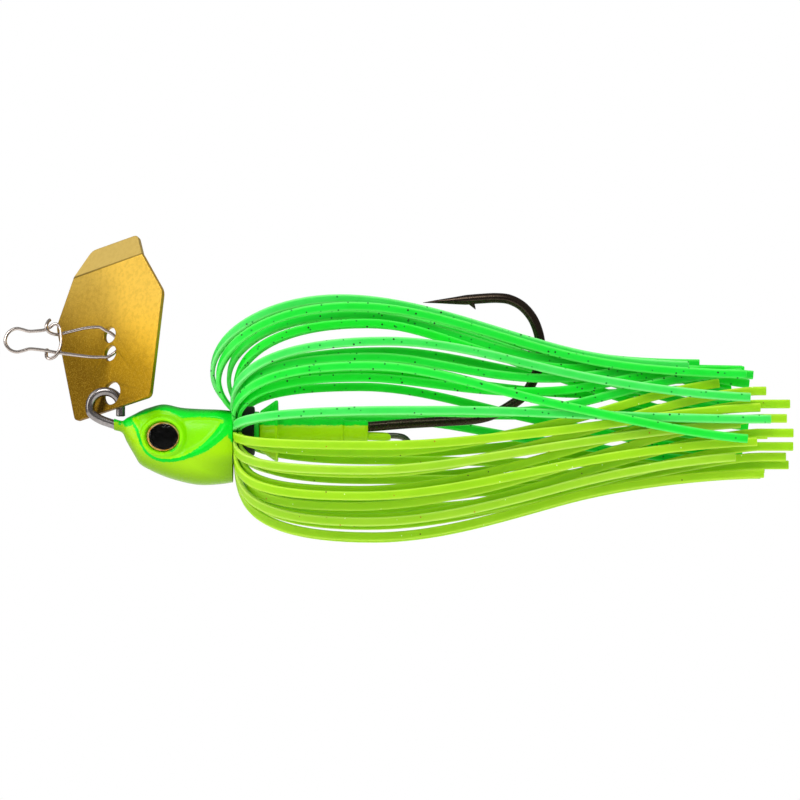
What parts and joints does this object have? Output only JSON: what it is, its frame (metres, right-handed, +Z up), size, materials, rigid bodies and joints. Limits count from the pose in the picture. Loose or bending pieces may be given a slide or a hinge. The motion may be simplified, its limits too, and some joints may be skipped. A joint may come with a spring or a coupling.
{
  "type": "bladed jig fishing lure",
  "caption": "Skirted lead-head jig with an upturned hook, a flat gold blade that swings on an open wire eye at the nose, and a wire snap for the line.",
  "frame": {"origin": "the point inside the snap's nose loop where the fishing line bears", "axes": "+X from the line tie towards the tail, +Z up towards the hook point, Y across the head, with Y = 0 the head's mid-plane"},
  "size_m": [0.118, 0.0248, 0.0463],
  "materials": {
    "painted_lead": "gloss",
    "hook_wire": "gloss",
    "stainless_wire": "satin",
    "keeper_wire": "satin",
    "eye_foil": "gloss",
    "eye_dome": "gloss",
    "skirt_green": "satin",
    "skirt_chartreuse": "satin",
    "band_rubber": "matte",
    "gold_plate": "satin",
    "snap_wire": "polished"
  },
  "bodies": {
    "head": {"lead_head": "painted_lead", "jig_hook": "hook_wire", "blade_hanger_wire": "stainless_wire", "trailer_keeper_wire": "keeper_wire", "eye_foil_left": "eye_foil", "eye_dome_left": "eye_dome", "eye_foil_right": "eye_foil", "eye_dome_right": "eye_dome", "skirt_root": "skirt_green", "skirt_band": "band_rubber", "skirt_strand_01": "skirt_green", "skirt_strand_02": "skirt_green", "skirt_strand_03": "skirt_green", "skirt_strand_04": "skirt_green", "skirt_strand_05": "skirt_green", "skirt_strand_06": "skirt_chartreuse", "skirt_strand_07": "skirt_chartreuse", "skirt_strand_08": "skirt_chartreuse", "skirt_strand_09": "skirt_chartreuse", "skirt_strand_10": "skirt_chartreuse", "skirt_strand_11": "skirt_green", "skirt_strand_12": "skirt_green", "skirt_strand_13": "skirt_green", "skirt_strand_14": "skirt_green", "skirt_strand_15": "skirt_green", "skirt_strand_16": "skirt_chartreuse", "skirt_strand_17": "skirt_chartreuse", "skirt_strand_18": "skirt_chartreuse", "skirt_strand_19": "skirt_chartreuse", "skirt_strand_20": "skirt_chartreuse", "skirt_strand_21": "skirt_green", "skirt_strand_22": "skirt_green", "skirt_strand_23": "skirt_green", "skirt_strand_24": "skirt_green", "skirt_strand_25": "skirt_green", "skirt_strand_26": "skirt_chartreuse", "skirt_strand_27": "skirt_chartreuse", "skirt_strand_28": "skirt_chartreuse", "skirt_strand_29": "skirt_chartreuse", "skirt_strand_30": "skirt_chartreuse", "skirt_strand_31": "skirt_green", "skirt_strand_32": "skirt_green", "skirt_strand_33": "skirt_green", "skirt_strand_34": "skirt_green", "skirt_strand_35": "skirt_green", "skirt_strand_36": "skirt_chartreuse", "skirt_strand_37": "skirt_chartreuse", "skirt_strand_38": "skirt_chartreuse", "skirt_strand_39": "skirt_chartreuse", "skirt_strand_40": "skirt_chartreuse"},
    "blade": {"blade": "gold_plate"},
    "snap": {"line_snap": "snap_wire"}
  },
  "joints": [
    {"name": "blade_swing", "type": "hinge", "parent": "head", "child": "blade", "pos_m": [0.01593, 0, -0.00789], "axis": [-0.3057, 0, 0.9521], "range_deg": [-108, 2]},
    {"name": "snap_swing", "type": "hinge", "parent": "blade", "child": "snap", "pos_m": [0.01556, 0.00253, -0.0005], "axis": [-0.0468, 0.3242, 0.9448], "range_deg": [-8, 88]}
  ]
}
